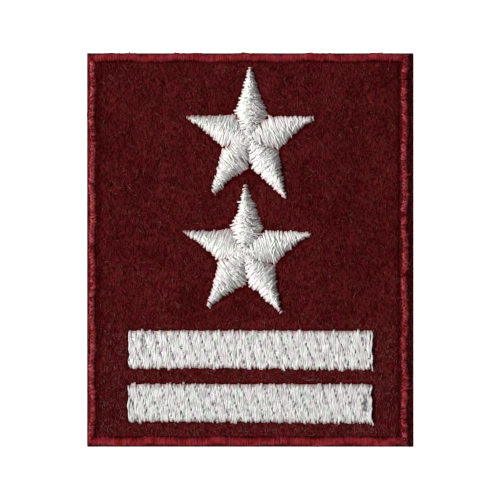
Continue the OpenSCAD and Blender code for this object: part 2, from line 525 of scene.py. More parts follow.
def strewn(count, length, spread, rng):
    """Both ends of fibres strewn over the cloth's face, off the stitching.

    A share of them, NAP_CROSSWISE, lies along X and the rest along Y, give or take spread degrees.
    """
    x, y = (
        rng.uniform(cloth_low[k] + NAP_MARGIN, cloth_high[k] - NAP_MARGIN, 2 * count) for k in (0, 1))
    lean = np.where(rng.random(2 * count) < NAP_CROSSWISE, 0, 90) + rng.normal(0, spread, 2 * count)
    long = rng.uniform(*length, 2 * count)
    far_x = x + long * np.cos(np.radians(lean))
    far_y = y + long * np.sin(np.radians(lean))
    keep = (np.abs(far_x) < cloth_high[0] - NAP_MARGIN) & (np.abs(far_y) < cloth_high[1] - NAP_MARGIN)
    for share in (0, 0.5, 1):
        keep &= ~over_stitching(x + share * (far_x - x), y + share * (far_y - y))
    x, y, far_x, far_y = (a[keep][:count] for a in (x, y, far_x, far_y))
    start = np.stack([x, y, cloth_height(x, y) - NAP_ROOT], axis=1)
    far_z = cloth_height(far_x, far_y) + rng.uniform(-0.03, NAP_LIFT, len(x))
    return start, np.stack([far_x, far_y, far_z], axis=1)


def nap_piece():
    """Short fibres laid by the brush, and longer loose ones that curl over them.

    From below the stars on, where the cloth is more worn, they are paler and differ more.
    """
    rng = np.random.default_rng(11)
    fibres = []
    for count, length, spread, half_w, bends, curl, tone in NAP_KINDS:
        start, end = strewn(count, length, spread, rng)
        bulge = rng.normal(0, curl, start.shape)
        bulge[:, 2] = np.abs(bulge[:, 2]) * 0.6 + 0.02
        spun = spindles(start, end, bulge, half_w * rng.uniform(0.7, 1.2, len(start)), bends)
        worn = ease(-start[:, 1], 8.5, 11)
        own = np.clip(rng.normal(tone + 0.15 * worn, 0.24 + 0.2 * worn, len(start)), 0, 1)
        # A fibre takes the share of flattened wool and painted shade where it lies
        pressed = pressed_share(*((start + end) / 2).T[:2])
        fibres.append((*spun, *(np.repeat(a, 2 + 3 * bends) for a in (own, pressed))))
    fluff = np.concatenate([FLUFF, cloth_height(*FLUFF.transpose(2, 0, 1))[..., None] + 0.1], axis=2)
    spun = spindles(fluff[:, 0], fluff[:, 1], FLUFF_BULGE, np.full(2, FLUFF_HALF_W), 2)
    fibres.append((*spun, np.ones(len(spun[0])), np.zeros(len(spun[0]))))
    points, triangles, tones, pressed = zip(*fibres)
    firsts = np.cumsum([0] + [len(part) for part in points])
    triangles = np.concatenate([part + first for part, first in zip(triangles, firsts)])
    nap = fill_piece("wool_nap", np.concatenate(points), [triangles])
    mark_points(nap, "tone", np.concatenate(tones))
    mark_points(nap, "pressed", np.concatenate(pressed))
    nap.data.materials.append(wool_fibre())
    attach(nap, "root")


nap_piece()


# Border
# Four columns of satin stitch in crimson rayon thread run along the cloth's sides: one thread
# goes to and fro across the column, 0.21 mm on at each pass, and dives into the felt at its ends.

BORDER_PITCH = 0.215
BORDER_RINGS = 9
# How far apart a pass's plies lie, and how far the cushion stays below the passes and inside them
BORDER_GAP = 0.1
BORDER_PAD_SINK = 0.025
BORDER_PAD_INSET = 0.04
# How far along its thread a flat ply makes a full twist, and two plies a full turn
TWIST = 1.05
TURN = 1.7
# How deep a thread's ends dive into the cloth, and how deep a cushion's foot stands in it
DIVE = 0.16
PAD_FOOT = 0.05
# The short columns are close and even, and the long ones loose. ply is a ply's half width and
# half thickness, slant how far a pass leans to and fro, as a share of the pitch, and mottle how
# much darker, towards the crevice colour, passes and spots along them are drawn. stray, jagged,
# ragged and uneven are how much the passes differ in where they lie, in their reach, in how deep
# their ends dive and in height. The section is flat on top at a roundness of 0, and a parabola at 1.
CLOSE_SEWN = {
    "ply": (0.095, 0.02), "slant": 0.15, "mottle": 0.15, "stray": 0.008, "ragged": 0.15,
    "uneven": 0.012, "roundness": 0.1, "jagged": 0.09, "low": 0.1, "sunk": (0.7, 1.2),
}
LOOSE_SEWN = {
    "ply": (0.082, 0.034), "slant": 1.9, "mottle": 1.4, "stray": 0.03, "ragged": 0.6,
    "uneven": 0.05, "roundness": 0.6,
}
# reach is how far past half the column's width the passes go at its outer and its inner edge,
# low how far it lies under its CAD node's top, and sunk how far a thread stays dim from each end:
# the wool's red and painted shade
BORDER = {
    "top": {**CLOSE_SEWN, "reach": (0.0, 0.1)},
    "right": {**LOOSE_SEWN, "jagged": 0.2, "low": 0.17, "sunk": (0.88, 0.88), "reach": (0.26, -0.26)},
    "bottom": {**CLOSE_SEWN, "reach": (-0.03, 0.2)},
    "left": {**LOOSE_SEWN, "jagged": 0.17, "low": 0.15, "sunk": (0.92, 0.92), "reach": (-0.2, 0.2)},
}

# Corners of a ply's oval, by angle: two on its top, one below
OVAL = np.radians([0, 50, 130, 180, 270])
# A ply is rounded above and flat below, so that its sides keep a crisp edge
OVAL_ROUNDED = np.array([True, True, True, False, False])
# How much of a crevice's shade each of them gets: the plies shade each other where they touch
OVAL_SHADE = np.array([1.0, 0, 0, 1, 1])
# Places across a cushion's section, from its left edge to its right one, closer at the edges
PAD_V = np.sin(np.linspace(1, -1, 11) * np.pi / 2)


def across_stitch(rings):
    """Places from -1 to 1 across a stitch, closer at its ends: the sine of evenly spaced angles."""
    return np.sin(np.linspace(-1, 1, rings) * np.pi / 2)


def lay_out(origin, ahead, t, lateral, z):
    """Points at t along the unit vector ahead, lateral to the left of it, and z high."""
    leftward = np.array([-ahead[1], ahead[0]])
    plane = origin + ahead * t[..., None] + leftward * lateral[..., None]
    return np.concatenate([plane, z[..., None]], axis=-1)


def by_side(v, pair):
    """For each row the first of a pair of values where v is over 0, and elsewhere the second."""
    return np.where(v > 0, pair[0][:, None], pair[1][:, None])


def two_plies(paths, across, gap, waver, lift, twist, rng):
    """The two plies of each stitch's thread, twisted round each other.

    They lie half of gap either side of the thread's middle, along across, and lift over and under
    it times the sine of the twist's phase, which makes a turn every TURN. A share of the first,
    twist, goes with the phase's cosine, so that at 1 the plies cross and at 0 they lie flat.
    The middle sways along across by waver times a sine of the way from the start.
    """
    stitches, rings = paths.shape[:2]
    v = np.linspace(-1, 1, rings)
    way = np.linalg.norm(paths - paths[:, :1], axis=-1)
    sway = waver * np.sin(way * rng.uniform(2, 4.5, (stitches, 1)) + rng.uniform(0, 6, (stitches, 1)))
    sway += 0.3 * waver * rng.normal(0, 1, (stitches, 1))
    rise = 0.5 * lift * rng.normal(0, 1, (stitches, 1)) * (1 - v ** 4)
    phase = 2 * np.pi * (way / TURN + rng.random((stitches, 1)))
    sway, rise, phase, paths = (np.repeat(a, 2, axis=0) for a in (sway, rise, phase, paths))
    which = np.tile([-1.0, 1.0], stitches)[:, None]
    sway += which * gap / 2 * (1 - twist + twist * np.cos(phase)) * (1 - 0.5 * v ** 4)
    paths = paths + across * sway[..., None]
    paths[..., 2] += rise + which * lift * np.sin(phase) * (1 - v ** 4)
    return paths


def lay_stitches(paths, across, thread, sunk_run, dives, rng):
    """A flat thread carried along each stitch's path.

    Round each point of a path stands an oval ring. thread is its half width and half thickness:
    the first grows by a sixth and the second shrinks by a fifth, and back, with each half turn of
    the twist. Rings lie square to the path. The last result is how far the thread has sunk: at
    each end it starts from that end's dives, 0 to 1, and falls to 0 over that end's sunk_run.
    """
    stitches, rings = paths.shape[:2]
    sides = len(OVAL)
    tangent = np.gradient(paths, axis=1)
    tangent /= np.linalg.norm(tangent, axis=-1, keepdims=True)
    across = np.broadcast_to(across, paths.shape)
    side = across - (across * tangent).sum(-1, keepdims=True) * tangent
    side /= np.linalg.norm(side, axis=-1, keepdims=True)
    normal = np.cross(tangent, side)
    steps = np.linalg.norm(np.diff(paths, axis=1), axis=-1)
    run = np.concatenate([np.zeros((stitches, 1)), np.cumsum(steps, axis=1)], axis=1)
    swing = np.cos(4 * np.pi * run / TWIST + rng.uniform(0, 2 * np.pi, (stitches, 1)))
    wide = thread[0] * (1 + 0.17 * swing) * rng.uniform(0.85, 1.15, (stitches, 1))
    thick = thread[1] * (1 - 0.2 * swing)
    points = paths[:, :, None] + (
        (wide[..., None] * np.cos(OVAL))[..., None] * side[:, :, None]
        + (thick[..., None] * np.sin(OVAL))[..., None] * normal[:, :, None]
    )
    quads, caps = tube_faces(stitches, rings, sides)
    along = (run + rng.uniform(0, 90, (stitches, 1)))[:, :, None]
    along = np.broadcast_to(along, (stitches, rings, sides))
    spiral = np.arange(sides) / sides - run[:, :, None] / TWIST
    near, far = slice(None, -1), slice(1, None)
    uv = np.stack([
        np.stack([along[:, ring], spiral[:, ring] + step / sides], axis=-1)
        for ring, step in ((near, 0), (near, 1), (far, 1), (far, 0))
    ], axis=-2)
    uv = np.concatenate([uv.reshape(-1, 2), np.zeros((caps.size, 2))])
    sunk = dives[:, :1] * (1 - ease(run, 0, sunk_run[0]))
    sunk += dives[:, 1:] * (1 - ease(run[:, -1:] - run, 0, sunk_run[1]))
    sunk = np.repeat(np.minimum(sunk, 1), sides)
    return points.reshape(-1, 3), quads, caps, uv, sunk


def padding(origin, ahead, t, edges, height, base, section, shift=0.0):
    """Underlay stitches as one closed low cushion along t, flat below.

    edges is how far it goes to its left and to its right, and shift moves it to the left. section
    is its height at PAD_V, as shares of height.
    """
    lateral = by_side(PAD_V, edges) * PAD_V + shift
    z = base - PAD_FOOT + height[:, None] * section
    rings = lay_out(origin, ahead, np.broadcast_to(t[:, None], z.shape), lateral, z)
    quads, ends = tube_faces(1, *z.shape)
    # The section runs the other way round, so each face's corners are turned to face outwards
    return rings.reshape(-1, 3), quads[:, [0, 3, 2, 1]], ends[:, ::-1]


def fill_stitched(name, stitches, pad, pad_sunk, shade, spots):
    """A piece of thread from its stitches and the padding under them.

    pad_sunk is how far the cushion has sunk along its middle and along its edges, where the wool's
    fibres close over it: the first, and on top the rest of the way with the 6th power of PAD_V. What
    has sunk is moved towards the sunk colour: the fibres' red, and painted shade. shade is how much
    painted shade the crevices between plies and on the cushion get, and spots is added to it along
    each path.
    """
    points, quads, caps, uv, sunk = stitches
    pad_points, pad_quads, pad_ends = pad
    first = len(points)
    pad_faces = len(pad_quads) + len(pad_ends)
    rounded = np.tile(OVAL_ROUNDED, len(quads) // len(OVAL))
    piece = fill_piece(
        name,
        np.concatenate([points, pad_points]),
        [quads, caps, pad_quads + first, pad_ends + first],
        np.concatenate([uv, np.zeros((pad_quads.size + pad_ends.size, 2))]),
        np.concatenate([rounded, np.zeros(len(caps), bool), np.ones(pad_faces, bool)]),
    )
    across = pad_sunk[0] + (pad_sunk[1] - pad_sunk[0]) * PAD_V ** 6
    sunk = np.concatenate([sunk, np.tile(across, len(pad_points) // len(PAD_V))])
    # The sunk mark: the wool's red over the thread, and painted shade where the wool shades it
    mark_points(piece, "sunk", sunk)
    # The crevice mark is painted shade: it moves the thread towards its crevice colour where plies touch,
    # on the cushion, and by spots
    crevice = np.tile(shade[0] * OVAL_SHADE, first // len(OVAL)) + np.repeat(spots.ravel(), len(OVAL))
    crevice = np.concatenate([crevice, np.full(len(pad_points), shade[1])])
    mark_points(piece, "crevice", np.clip(crevice, 0, 1))
    return piece


def embroidery_thread(name, shades, tints, crevice, sunk, sunk_share, roughness, gloss):
    """Two-ply filament rayon, laid flat and glossy: bright along its top, with painted shade in its twist.

    Fine filaments spiral along each ply, drawn about 0.05 mm wide, and the dye varies a little
    along the thread between two shades. Where it dives among the wool fibres it is moved towards
    sunk: their red, and painted shade where they shade it. Its crevices get painted shade, in a
    colour of their own, crevice.
    """
    material = new_material(name)
    thread_uv = add_node(material, "ShaderNodeUVMap", uv_map="thread")
    place = add_node(material, "ShaderNodeTexCoord", output="Object")
    filaments = grain(material, thread_uv, (1 / 0.9, 1 / 9, 1), unit=1)
    dye = grain(material, place, (0.9, 0.9, 0.9))
    both = add_node(material, "ShaderNodeMath", {0: filaments, 1: dye}, operation="ADD")
    half = add_node(material, "ShaderNodeMath", {0: both, 1: 0.5}, operation="MULTIPLY")
    colour = blend_colour(material, half, list(zip((0.41, 0.59), shades)))
    colour = uneven_dye(material, place, colour, 1.3, tints)
    # Painted shade: the crevice mark moves the colour towards the crevice colour
    colour = blend_marked(material, "crevice", colour, crevice)
    bump = add_node(
        material, "ShaderNodeBump", {"Height": filaments, "Strength": 0.35, "Distance": 0.008 * MM})
    skin = add_node(material, "ShaderNodeBsdfPrincipled", {
        # Sunk: the wool fibres' red and painted shade, towards the sunk colour
        "Base Color": blend_marked(material, "sunk", colour, sunk, sunk_share),
        "Normal": bump,
        "Roughness": roughness,
        "IOR": 1.53,
        "Specular IOR Level": gloss,
        "Subsurface Weight": 0.2,
        "Subsurface Radius": (1.0, 0.9, 0.85),
        "Subsurface Scale": 0.15 * MM,
    })
    add_node(material, "ShaderNodeOutputMaterial", {"Surface": skin})
    return material


CRIMSON_TINTS = ["#FFECB8", "#FFFFFF", "#F8E8FF"]
# Each thread's shades and tints, its crevice colour for painted shade, and its sunk colour and share: the
# wool's red and painted shade
crimson_thread = embroidery_thread(
    "crimson_rayon_thread", ("#780006", "#A2303C"), CRIMSON_TINTS, "#500006", "#4C0005", 0.95, 0.55, 0.1)
# The long sides' thread is drawn paler and pinker, with little gloss: a painted highlight
crimson_thread_painted_highlight = embroidery_thread(
    "crimson_rayon_thread_painted_highlight", ("#7C0008", "#CC5A64"), CRIMSON_TINTS, "#480006", "#5C0006",
    1.0, 0.6, 0.04)


def dome(v, roundness):
    """Height over a column's section: one less v squared, or partly its 8th power instead."""
    return 1 - roundness * v ** 2 - (1 - roundness) * v ** 8


def border_piece(side, start, end, rng):
    """One column of passes from the corner start to the corner end, clockwise round the cloth.

    A pass goes across the column as a low dome that dives at its ends, with v from -1 at the outer
    edge to 1 at the inner one. At a corner its inner end stops on the mitre. Spots along a pass
    are darker, and the column as a whole sways a little.
    """
    sewn = BORDER[side]
    low, high = border_sides[side]
    height = high[2] - low[2] - sewn["low"]
    run = np.linalg.norm(end - start)
    forward = (end - start) / run
    width = min((high - low)[:2])
    count = int(run / BORDER_PITCH)
    number = np.arange(count)
    at = (number + 0.5) * run / count
    v = across_stitch(BORDER_RINGS)
    odd = number[:, None] % 2 * 2 - 1
    stray = sewn["stray"] * rng.normal(0, 1, (2, count, 1))
    s = at[:, None] + sewn["slant"] * BORDER_PITCH / 2 * odd * v + stray[0] + np.cos(v * 1.5) * stray[1]
    outer, inner = sewn["reach"]
    reach = width / 2 + np.where(v < 0, outer, inner)
    reach = reach * (1 + rng.normal(0, sewn["jagged"], (count, 1)))
    sway = 0.1 * np.sin(at / 1.3 + rng.uniform(0, 6)) + 0.05 * np.sin(at / 0.45 + rng.uniform(0, 6))
    mitre = np.maximum(np.minimum(s, run - s) - width / 2, -width / 2 + 0.05)
    across = np.minimum(v * reach + sway[:, None], mitre)
    rise = (height - sewn["ply"][1] + DIVE) * dome(v, sewn["roundness"])
    z = low[2] - DIVE + rise * (1 + rng.normal(0, sewn["uneven"], (count, 1)))
    paths = lay_out(start, forward, s, -across, z)
    ahead = np.array([*forward, 0])
    paths = two_plies(paths, ahead, BORDER_GAP, 0.025, 0.01, 0.5, rng)
    dives = 1 + sewn["ragged"] * rng.uniform(-1, 1, (2 * count, 2))
    stitches = lay_stitches(paths, ahead, sewn["ply"], sewn["sunk"], dives, rng)
    spots = rng.normal(0, 0.6, (2 * count, 1)) + rng.normal(0, 0.35, (2 * count, BORDER_RINGS))
    spots = sewn["mottle"] * np.clip(spots, 0, 1)
    pad_t = np.linspace(0.15, run - 0.15, int(run / 0.5))
    pad_edges = np.full((2, len(pad_t)), width / 2 + (inner + outer) / 2 - BORDER_PAD_INSET)
    pad_high = np.full(len(pad_t), height - BORDER_PAD_SINK)
    pad_shift = -np.interp(pad_t, at, sway)[:, None] - (inner - outer) / 2
    pad = padding(
        start, forward, pad_t, pad_edges, pad_high, low[2], dome(PAD_V, sewn["roundness"]), pad_shift)
    # The passes' sides and the cushion get painted shade in the crevice colour
    piece = fill_stitched(f"{side}_border_stitches", stitches, pad, (0.2, 0.9), (0.1, 0.2), spots)
    # The two long columns take the thread with the painted highlight
    piece.data.materials.append(crimson_thread_painted_highlight if side in ("left", "right") else crimson_thread)
    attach(piece, "root")
    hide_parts(f"border_{side}")


# The columns' middle lines make a rectangle through the middles of the four CAD columns
border_rng = np.random.default_rng(5)
column_half = (border_sides["left"][1] - border_sides["left"][0])[0] / 2
left_x, right_x = (sum(border_sides[side])[0] / 2 for side in ("left", "right"))
bottom_y, top_y = (sum(border_sides[side])[1] / 2 for side in ("bottom", "top"))
for side, start, end in (
    ("top", (left_x - column_half, top_y), (right_x + column_half, top_y)),
    ("right", (right_x, top_y + column_half), (right_x, bottom_y - column_half)),
    ("bottom", (right_x + column_half, bottom_y), (left_x - column_half, bottom_y)),
    ("left", (left_x, bottom_y - column_half), (left_x, top_y + column_half)),
):
    border_piece(side, np.array(start), np.array(end), border_rng)


# Stars
# Each star is five kites of white satin stitch, sewn one after the other over a padding of
# underlay stitches. The thread crosses each kite from edge to edge, square to the arm.

ARM_PITCH = 0.19
ARM_RINGS = 13
# A ply's half width and half thickness, how far it rises and how far it crosses the other one,
# how much painted shade it gets on the arm's side away from the lamp, how much painted shade strands
# get where they sink between their neighbours, how much painted shade its soft patches get, and how
# deep the cushion lies, each where the thread lies close and where it is loose
ARM_PLY = ((0.1, 0.024), (0.072, 0.034))
ARM_LIFT = (0.008, 0.024)
ARM_TWIST = (0.6, 1.0)
ARM_SHADE = (0.0, 0.1)
ARM_SLITS = (0.06, 0.85)
ARM_PATCH_SHADE = (0.1, 0.35)
PAD_SINK = (0.05, 0.15)
# Slack strands that the embroidery left lying over its own stitches: how many on each mm of a
# loose arm, their half width and half thickness, half their length, and how high they arch
SLACK_COUNT = 11
SLACK_PLY = (0.075, 0.04)
SLACK_HALF = (0.3, 0.65)
SLACK_ARCH = 0.05
ARM_GAP = 0.105
ARM_WAVER = 0.045
# How high the crown is at the tip, as a share, and how far its passes lap on to the next arm
ARM_THIN_CROWN = 0.25
LAP = 0.25
PAD_INSET = 0.1
# The star's centre: how far it reaches, how high it is, as a share, and the stitches across it
HUB_R = 1.5
HUB_FULLNESS = 0.8
HUB_STITCHES = 14
# How far a thread stays dim from its ends, and how much further at the tip: the wool's red and
# painted shade
ARM_SUNK = 0.8
TIP_SUNK = 0.5
# The order in which the arms were sewn, for the top, right, lower right, lower left and left one
SEWN = [3, 4, 2, 1, 0]
# For each arm, in that order: where its crown lies between its edges, from -1 at the clockwise one
# to 1; how far its passes lean, in degrees; how far their middles bow towards the tip; half the
# width of its blunt tip; how hollow its counter-clockwise and clockwise sides are; and how loose
# its thread is, from 0 where it lies flat and close to 1 where the plies part and cross
ARMS_SEWN = {
    "upper": [
        (0.05, -3, 0.2, 0.2, 0.05, 0.1, 1.0),
        (-0.08, -3, 0.0, 0.22, -0.05, 0.35, 0.35),
        (0.35, -4, 0.0, 0.22, 0.25, 0.05, 0.5),
        (-0.25, 13, 0.0, 0.35, 0.5, 0.0, 0.4),
        (0.0, 0, 0.0, 0.2, 0.3, 0.05, 0.25),
    ],
    "lower": [
        (0.05, -9, 0.15, 0.2, 0.1, -0.1, 1.0),
        (-0.06, -3, 0.0, 0.22, 0.0, 0.4, 0.35),
        (0.25, -8, 0.0, 0.22, 0.25, 0.1, 0.6),
        (-0.2, 11, 0.0, 0.3, 0.45, 0.15, 0.6),
        (0.0, 0, 0.0, 0.2, 0.3, 0.2, 0.15),
    ],
}
# Where two passes part: the star, the arm, the distance along it, the side, 0 for the
# counter-clockwise one and 1 for the other, and how far the passes fall short there, or reach out
# where that is below 0
FLAWS = [
    ("upper", "top", 3.7, 0, -0.3),
    ("upper", "lower_right", 4.5, 1, 0.3),
    ("upper", "lower_left", 2.65, 0, 1.1),
    ("upper", "lower_left", 7.3, 0, -0.3),
    ("lower", "top", 5.4, 0, 0.3),
    ("lower", "top", 3.9, 0, -0.25),
    ("lower", "right", 3.2, 0, 0.15),
    ("lower", "lower_right", 4.8, 1, 0.3),
    ("lower", "lower_left", 3.4, 1, 0.2),
]
FLAW_HALF = 0.22
# Arms drawn darker all over than the others, towards the crevice colour
ARM_GREY = {("upper", "lower_left"): 0.15, ("lower", "lower_left"): 0.08}
# How flat each arm's crown is: the power of the distance from it by which its section falls
CROWN_POWER = {"top": 1.9, "right": 1.9, "lower_right": 1.9, "lower_left": 3.0, "left": 1.9}

# The white thread's crevice colour is painted shade, and its sunk colour the wool's red and painted shade
white_thread = embroidery_thread(
    "white_rayon_thread", ("#EEEBEA", "#FFFEFA"), ["#F4FFF7", "#FFFDFB", "#FFF7FF"], "#565258",
    "#C88488", 0.95, 0.4, 0.6)


def kite_half_width(t, tip, valley, turn, blunt, hollow):
    """Half the width of a kite on one side, at distance t from the star's centre.

    It grows straight to the shoulder and falls straight to blunt at the tip, less a hollow of four
    times s times one less s, where s runs from 0 at the shoulder to 1 at the tip.
    """
    shoulder_t = valley * math.cos(turn)
    shoulder_w = valley * abs(math.sin(turn))
    s = np.clip((t - shoulder_t) / (tip - shoulder_t), 0, 1)
    falling = shoulder_w * (1 - s) + blunt * s - 4 * hollow * s * (1 - s)
    return np.where(t < shoulder_t, shoulder_w * t / shoulder_t, np.maximum(falling, 0.15))


def gable(v, ridge, power):
    """Height over an arm's section, 1 at its crown and 0 at v of -1 and 1.

    It is one less a power of the distance from the crown, which stands at v = ridge.
    """
    from_crown = v - ridge * (1 - v * v)
    return 1 - np.abs(from_crown) ** power


def give_way(at, flaws):
    """How far passes fall short at each of an arm's two edges: a bell curve round each flaw."""
    short = np.zeros((2, len(at)))
    for flaw_at, side, depth in flaws:
        short[side] += depth * bell(at, flaw_at, FLAW_HALF)
    return short


def slack_paths(at, reach, height, base, crown_form, toward, loose, rng):
    """Wavy strands on an arm's crown and far side, each a low arch from place to place on it.

    Most lean about 30 degrees off its passes, and the others about 20 degrees the other way.
    Their height is the gable's, and SLACK_ARCH over it half way.
    """
    count = int(SLACK_COUNT * loose * (at[-1] - 2.0))
    middle_t = rng.uniform(0.9, at[-1] - 1.1, count)[:, None]
    middle_v = toward * rng.uniform(-0.45, 0.55, (count, 1))
    lean = np.where(rng.random((count, 1)) < 0.7, 28, -18) + rng.normal(0, 9, (count, 1))
    lean = np.radians(lean)
    width = sum(reach)
    half = rng.uniform(*SLACK_HALF, (count, 1)) * np.interp(middle_t, at, width) / width.max()
    w = np.linspace(-1, 1, ARM_RINGS)
    here = [np.interp(middle_t, at, side) for side in reach]
    along = half * w
    lateral = middle_v * np.where(middle_v > 0, *here) + np.cos(lean) * along
    wave = 0.05 * np.sin(along * 5 + rng.uniform(0, 6, (count, 1)))
    t = middle_t - toward * np.sin(lean) * along + wave
    v = np.clip(lateral / np.where(lateral > 0, *here), -0.98, 0.98)
    z = base + np.interp(t, at, height) * gable(v, *crown_form) + SLACK_ARCH - 0.09 * w ** 4
    return t, lateral, z


def hub_paths(centre, height, base, rng):
    """Short stitches thrown across a star's centre, each a low arch at its own angle."""
    turn = rng.uniform(0, 2 * np.pi, HUB_STITCHES)
    out = 0.95 * np.sqrt(rng.random(HUB_STITCHES))
    middle = centre + out[:, None] * np.stack([np.cos(turn), np.sin(turn)], axis=1)
    lie = turn + rng.normal(0, 1.2, HUB_STITCHES)
    along = np.stack([np.cos(lie), np.sin(lie)], axis=1)
    half = rng.uniform(0.3, 0.65, HUB_STITCHES)
    v = across_stitch(ARM_RINGS)
    plane = middle[:, None] + along[:, None] * (half[:, None] * v)[..., None]
    crown = height + rng.uniform(-0.05, 0.03, HUB_STITCHES)
    z = base + crown[:, None] - 0.25 * (1 - np.maximum(1 - v ** 4, 0) ** 0.7)
    across = np.stack([-along[:, 1], along[:, 0], np.zeros(HUB_STITCHES)], axis=1)
    return np.concatenate([plane, z[..., None]], axis=-1), across[:, None]


def soft_patches(x, y, rng):
    """Patches from 0 up: the sum of 12 sine waves at random angles, where it is over 0.

    The waves are 0.7 to 2 mm long.
    """
    turns, longs, starts = (rng.uniform(*span, 12) for span in ((0, 2 * np.pi), (0.7, 2.0), (0, 2 * np.pi)))
    total = np.zeros(np.shape(x))
    for turn, long, start in zip(turns, longs, starts):
        total += np.sin((x * np.cos(turn) + y * np.sin(turn)) * 2 * np.pi / long + start)
    return np.clip(total / 3, 0, 1.5)


def star_arm(star_name, i, rng):
    """One kite's stitches over its padding.

    A pass starts and ends on the kite's two edges, rises between them as the gable does, and is
    drawn as the two plies of its thread. The crown's height falls with the square root of the
    kite's width from the shoulders to the tip. Towards the star's centre a pass reaches LAP
    further, on to the next arm, and its ends stay high there. Passes bow a little along the arm,
    waver, differ in reach as the thread's tension does, and meet in pairs at each edge. Near the
    centre they lie at odd angles. On a loose arm short and long passes take turns, plies sink a
    little between their neighbours, and slack strands lie on top. The arm sewn last carries the
    short stitches of the star's centre.
    """
    arm = ARM_NAMES[i]
    arms = STARS[star_name]["arms"]
    centre = np.array(STARS[star_name]["centre"])
    ridge, lean, bowed, blunt, left_hollow, right_hollow, loose = ARMS_SEWN[star_name][i]
    ply = np.array(ARM_PLY[0]) * (1 - loose) + np.array(ARM_PLY[1]) * loose
    ply_lift, twist, shade, slit, patchy, pad_sink = (
        close + (far - close) * loose
        for close, far in (ARM_LIFT, ARM_TWIST, ARM_SHADE, ARM_SLITS, ARM_PATCH_SHADE, PAD_SINK))
    crown_form = (ridge, CROWN_POWER[arm])
    tip_angle, tip_share, valley_angle, valley_share = arms[i]
    _, _, before_angle, before_share = arms[i - 1]
    low, high = node_box(f"{star_name}_star_{arm}_arm")
    crown = high[2] - low[2]
    tip = STAR_R * tip_share
    turns = np.radians([(before_angle - tip_angle) % 360, tip_angle - valley_angle])
    kites = (
        (tip, VALLEY_R * before_share, turns[0], blunt, left_hollow),
        (tip, VALLEY_R * valley_share, turns[1], blunt, right_hollow),
    )
    outward = direction(tip_angle)
    ahead = np.array([*outward, 0])
    flaws = [flaw[2:] for flaw in FLAWS if flaw[:2] == (star_name, arm)]

    # Where each pass lies along the arm, how it leans, and its two ends, the left one first
    passes = int((tip - 0.2) / ARM_PITCH)
    at = np.linspace(0.25, tip - 0.05, passes)
    at += 0.025 * np.sin(at * 5.1 + rng.uniform(0, 6)) + rng.normal(0, 0.035, passes)
    for flaw_at, _, short in flaws:
        if short > 0:
            at += 0.07 * np.tanh((at - flaw_at) / 0.06) * bell(at, flaw_at, 0.5)
    hub_share = 1 - ease(at, 0.5 * HUB_R, 1.3 * HUB_R)
    leans = math.tan(math.radians(lean)) * (1 - hub_share) + rng.normal(0, 0.05, passes)
    leans += hub_share * rng.normal(0, 0.22, passes)
    edges = np.array([
        kite_half_width(at + way * leans * kite_half_width(at, *kite) * 0.8, *kite)
        for way, kite in zip((1, -1), kites)
    ])
    shoulders = VALLEY_R * np.cos(turns)[:, None]
    bases = 1 - ease(at, 0.5 * shoulders, 0.95 * shoulders)
    lapped = np.array([
        [0.5 if SEWN[i] > SEWN[i - 1] else 0.15], [0.4 if SEWN[i] > SEWN[(i + 1) % 5] else 0.15]])
    lifts = bases * (lapped + 0.35 * hub_share)
    short_and_long = 0.09 * loose * (np.arange(passes) % 2 * 2 - 1)
    reach = edges + LAP * bases + rng.normal(0, 0.095 + 0.03 * loose, (2, passes)) + short_and_long
    reach -= give_way(at, flaws)
    widest = VALLEY_R * math.sin(math.radians(36))
    shoulder_t = VALLEY_R * math.cos(math.radians(36))
    fullness = np.sqrt(np.clip(edges.mean(axis=0) / widest, 0, 1))
    fullness = np.where(at < shoulder_t, HUB_FULLNESS + (1 - HUB_FULLNESS) * at / shoulder_t, fullness)
    height = crown * (ARM_THIN_CROWN + (1 - ARM_THIN_CROWN) * fullness)

    # The passes' paths, the slack strands over them and the stitches of the star's centre
    odd = np.arange(passes)[:, None] % 2 * 2 - 1
    v = across_stitch(ARM_RINGS)
    lateral = by_side(v, reach) * v
    bow = bowed + rng.normal(0, 0.05, (passes, 1)) + 0.06 * np.sin(at[:, None] * 1.3 + rng.uniform(0, 6))
    t = at[:, None] + leans[:, None] * lateral + bow * (1 - v * v)
    t += (0.25 + 0.35 * loose) * ARM_PITCH * odd * v ** 3
    lift = by_side(v, lifts)
    z = low[2] + (height[:, None] - ply[1]) * (lift + (1 - lift) * gable(v, *crown_form))
    z += 0.02 * SEWN[i] * bases.max(axis=0)[:, None] - DIVE * v ** 8 * (1 - by_side(v, bases))
    paths = lay_out(centre, outward, t, lateral, z)
    paths = two_plies(paths, ahead, ARM_GAP, ARM_WAVER, ply_lift, twist, rng)
    # toward times v is over 0 on the side of the arm that faces the lamp
    toward = 1 if outward[1] > 0 else -1
    # Slits: painted shade on plies that sink between their neighbours, weaker on the side that faces the
    # lamp
    slits = rng.normal(0, 1, (2 * passes, ARM_RINGS + 1))
    slits = np.clip((slits[:, 1:] + slits[:, :-1]) / 2 - 0.15, 0, 1) * (1 - v ** 6)
    slits *= 1.15 - 0.8 * ease(toward * v, 0.1, 0.5)
    paths[..., 2] -= 0.05 * loose * slits
